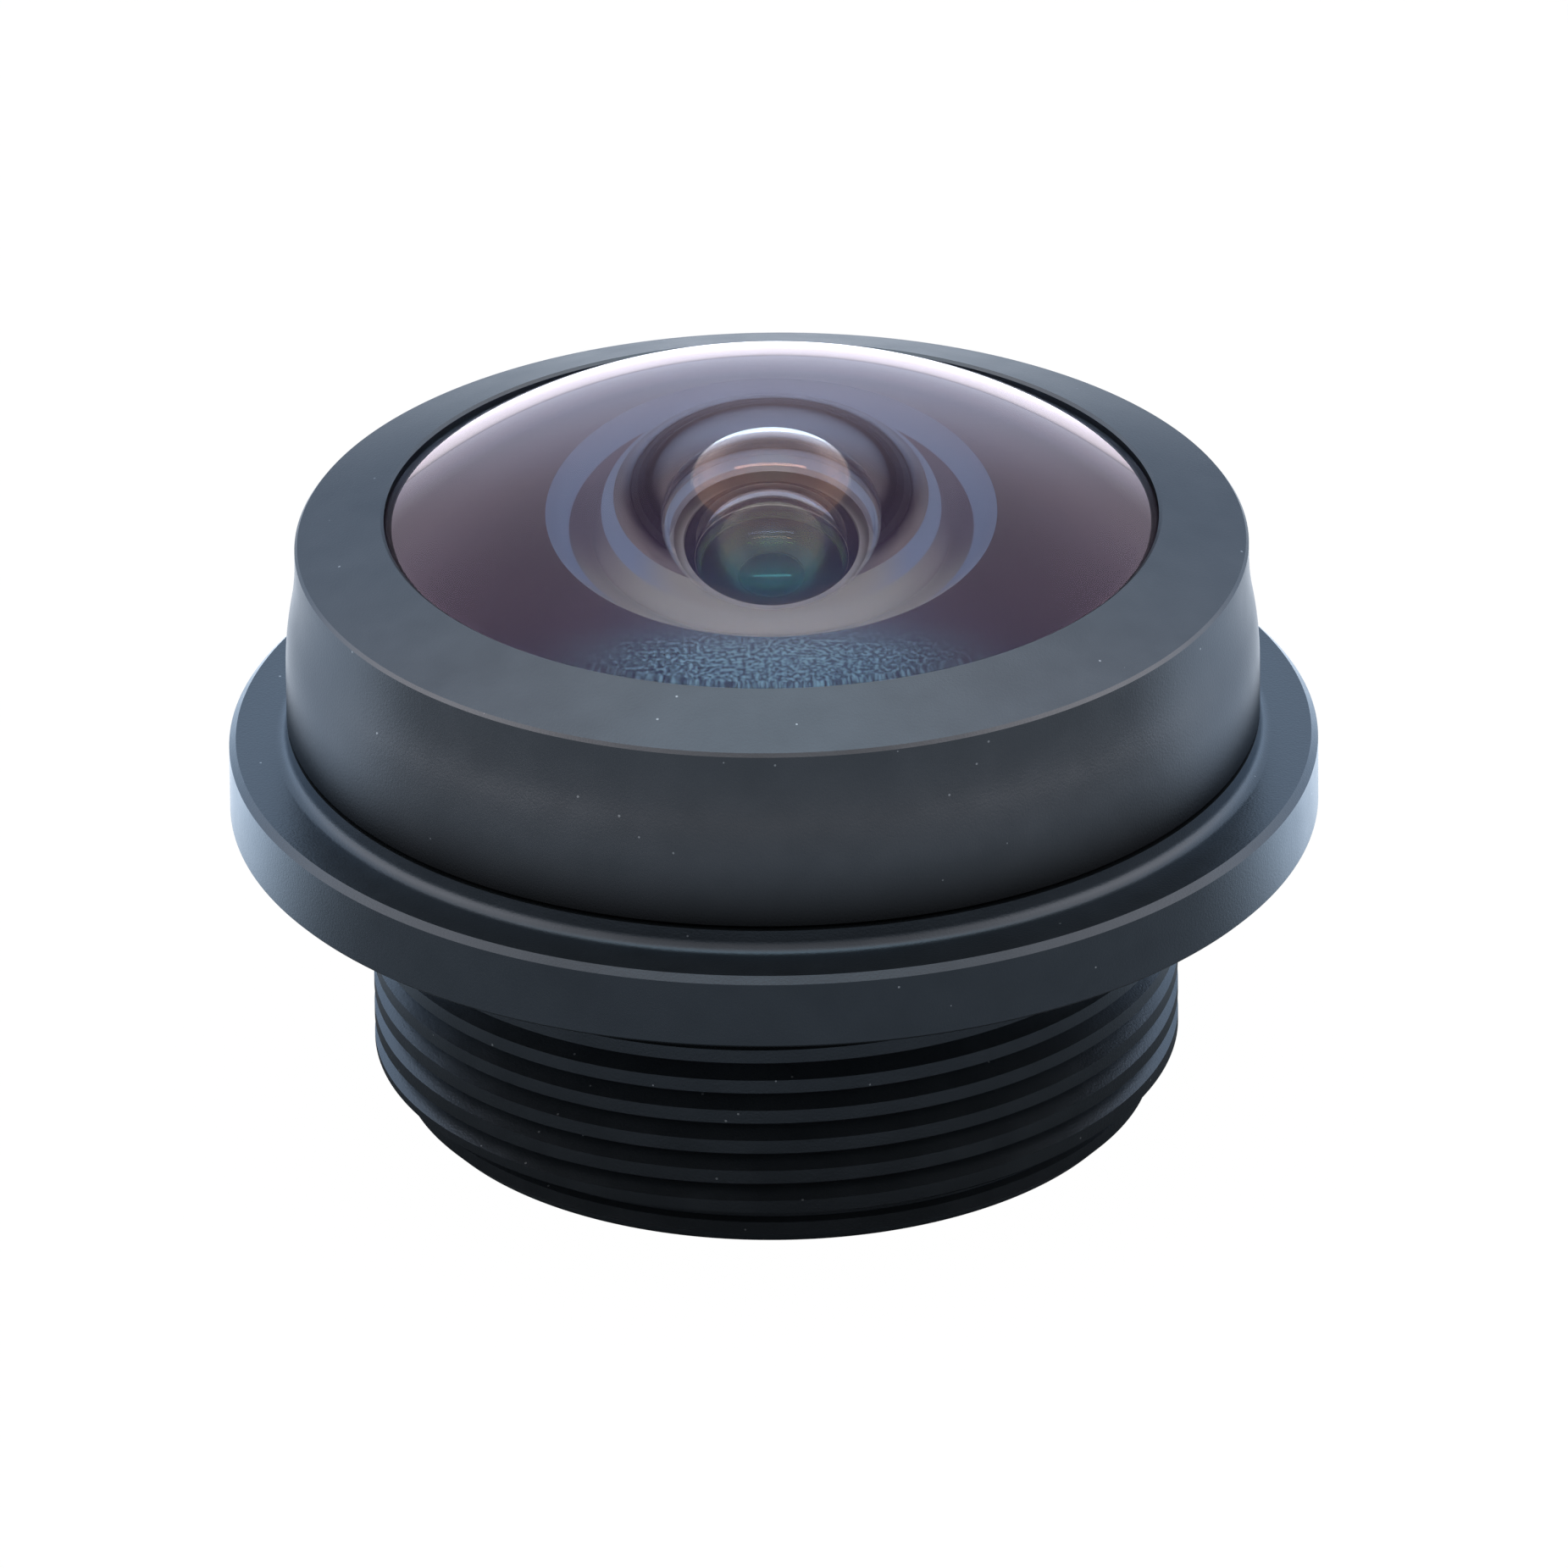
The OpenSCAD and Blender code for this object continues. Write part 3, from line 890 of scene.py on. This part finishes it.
# The floor is white to the camera. Glass and metal see it glow from a little way off, brighter behind.
# Close round the object they see the dim grey lit floor instead, a painted shadow over its real one, and
# the brighter glow behind is a painted pool of light
studio = {
    "floorSize": 0.8,
    "floorColour": 0.12,
    "floorRoughness": 0.9,
    "floorGloss": 0.1,
    "cameraShare": 0.96,
    "paintedShadowNear": 0.0075,
    "paintedShadowFar": 0.0165,
    "paintedShadowLevel": 0.02,
    "backStart": -0.003,
    "backEnd": 0.006,
    "backNear": 0.1,
    "backFar": 0.4,
    "paintedPoolGain": 1.6,
    "frontLevel": 0.62,
    "floorWhite": 1.04,
    "glowTint": (0.93, 0.99, 1.08),
    "aimHeight": 0.009,
}


def makeStage():
    s = studio
    deselect()
    bpy.ops.mesh.primitive_plane_add(size=s["floorSize"], location=(0, 0, 0))
    floor = bpy.context.object
    floor.name = "floor"
    matt = {"Roughness": s["floorRoughness"], "Specular IOR Level": s["floorGloss"]}
    shader = Shader("paleFloor", {"Base Color": grey(s["floorColour"]), **matt})
    paths = shader.outputs("LightPath")
    seen = paths["Is Camera Ray"]
    distance = shader.length(shader.place())
    # Painted shadow: near the object, reflections see the dim lit floor instead of the glow
    outsidePaintedShadow = shader.smooth(distance, s["paintedShadowNear"], s["paintedShadowFar"], s["paintedShadowLevel"])
    # Painted pool of light behind the object, with the front dimmer
    behind = shader.smooth(shader.axes()["Y"], s["backStart"], s["backEnd"])
    nearPaintedPool = 1 - shader.smooth(distance, s["backNear"], s["backFar"])
    glow = s["frontLevel"] + behind * (1 - s["frontLevel"] + nearPaintedPool * s["paintedPoolGain"])
    parts = [seen * s["floorWhite"] + (1 - seen) * glow * c for c in s["glowTint"]]
    tinted = shader.node("CombineColor", None, dict(enumerate(parts)))
    white = shader.node("Emission", None, {"Color": tinted, "Strength": 1.0})
    lit = Value(shader, shader.surface.outputs[0])
    mirrored = paths["Is Glossy Ray"].maths("MAXIMUM", paths["Is Transmission Ray"])
    share = seen * s["cameraShare"] + mirrored * outsidePaintedShadow
    mixed = shader.node("MixShader", None, {0: share, 1: lit, 2: white})
    shader.plug(shader.output.inputs[0], mixed)
    floor.data.materials.append(shader.material)


# White to the camera and dim to matt surfaces. Glass and metal see a sky that is brightest overhead and
# at both sides and darker in front, warm at the sides and bluer behind and above
sky = {
    "ambient": 0.4,
    "brightest": 4,
    "heights": [
        (-1.0, 1.0),
        (0.0, 1.7),
        (0.19, 1.3),
        (0.33, 1.7),
        (0.45, 1.75),
        (0.7, 1.5),
        (0.8, 1.7),
        (0.9, 2.5),
        (1.0, 3.2),
    ],
    "sideFrom": 0.35,
    "sideTo": 0.95,
    "sideGain": 1.0,
    "frontFrom": -0.1,
    "frontTo": -0.9,
    "frontLoss": 0.3,
    "backFrom": 0.2,
    "backTo": 0.8,
    "sideTint": (1.05, 0.93, 0.9, 1),
    "backTint": (0.84, 0.95, 1.12, 1),
    "topFrom": 0.86,
    "topTo": 0.98,
    "topTint": (0.8, 0.98, 1.06, 1),
}


def makeWorld():
    world = bpy.data.worlds.new("studio")
    bpy.context.scene.world = world
    world.use_nodes = True
    graph = Graph(world.node_tree)
    background = graph.tree.nodes["Background"]
    paths = graph.outputs("LightPath")
    axes = graph.outputs("SeparateXYZ", {0: graph.node("TexCoord")})
    stops = [((h + 1) / 2, grey(level / sky["brightest"])) for h, level in sky["heights"]]
    byHeight = graph.node("ValToRGB", {"stops": stops}, {0: (axes["Z"] + 1) / 2}) * sky["brightest"]
    side = graph.smooth(axes["X"].maths("ABSOLUTE"), sky["sideFrom"], sky["sideTo"]) * sky["sideGain"]
    front = graph.smooth(axes["Y"], sky["frontFrom"], sky["frontTo"]) * sky["frontLoss"]
    sweep = byHeight * (1 + side) * (1 - front)
    diffuse = paths["Is Diffuse Ray"]
    glossy = paths["Is Glossy Ray"]
    level = diffuse * sky["ambient"] + glossy * (1 - diffuse) * sweep + (1 - diffuse) * (1 - glossy)
    back = graph.smooth(axes["Y"], sky["backFrom"], sky["backTo"])
    tint = graph.mixColour(back, sky["sideTint"], sky["backTint"])
    tint = graph.mixColour(graph.smooth(axes["Z"], sky["topFrom"], sky["topTo"]), tint, sky["topTint"])
    graph.plug(background.inputs["Strength"], level)
    graph.plug(background.inputs["Color"], graph.mixColour(glossy, grey(1), tint))


# Place, width and depth in metres, and level. The softboxes light only matt surfaces
lamps = {
    "topSoftbox": ((0, 0.03, 0.16), (0.2, 0.16), 2.4),
    "frontSoftbox": ((0, -0.14, 0.15), (0.14, 0.06), 1.6),
    "backSoftbox": ((0, 0.26, 0.03), (0.5, 0.14), 1.5),
    "leftSoftbox": ((-0.26, 0.05, 0.05), (0.4, 0.14), 2.7),
    "rightSoftbox": ((0.26, 0.05, 0.05), (0.4, 0.14), 2.7),
    "stripLamp": ((0, 0.012, 0.2), (0.26, 0.014), 50.0),
}


# The strip lamp only shows as a thin line inside the glass, in its own colour
insideLamps = {"stripLamp": (1.0, 0.8, 0.75)}


def makeLamps():
    for name, (place, size, level) in lamps.items():
        deselect()
        bpy.ops.object.light_add(type="AREA", location=place)
        lamp = bpy.context.object
        lamp.name = name
        lamp.visible_camera = False
        lamp.visible_glossy = False
        lamp.visible_transmission = name in insideLamps
        lamp.visible_diffuse = name not in insideLamps
        lamp.data.color = insideLamps.get(name, (1, 1, 1))
        lamp.data.shape = "RECTANGLE"
        lamp.data.size, lamp.data.size_y = size
        lamp.data.energy = level * math.pi * size[0] * size[1]
        aim = (Vector((0, 0, studio["aimHeight"])) - Vector(place)).to_track_quat("-Z", "Y")
        lamp.rotation_euler = aim.to_euler()


makeStage()
makeWorld()
makeLamps()
bpy.context.scene.view_settings.view_transform = "Standard"
print("stage and light set")
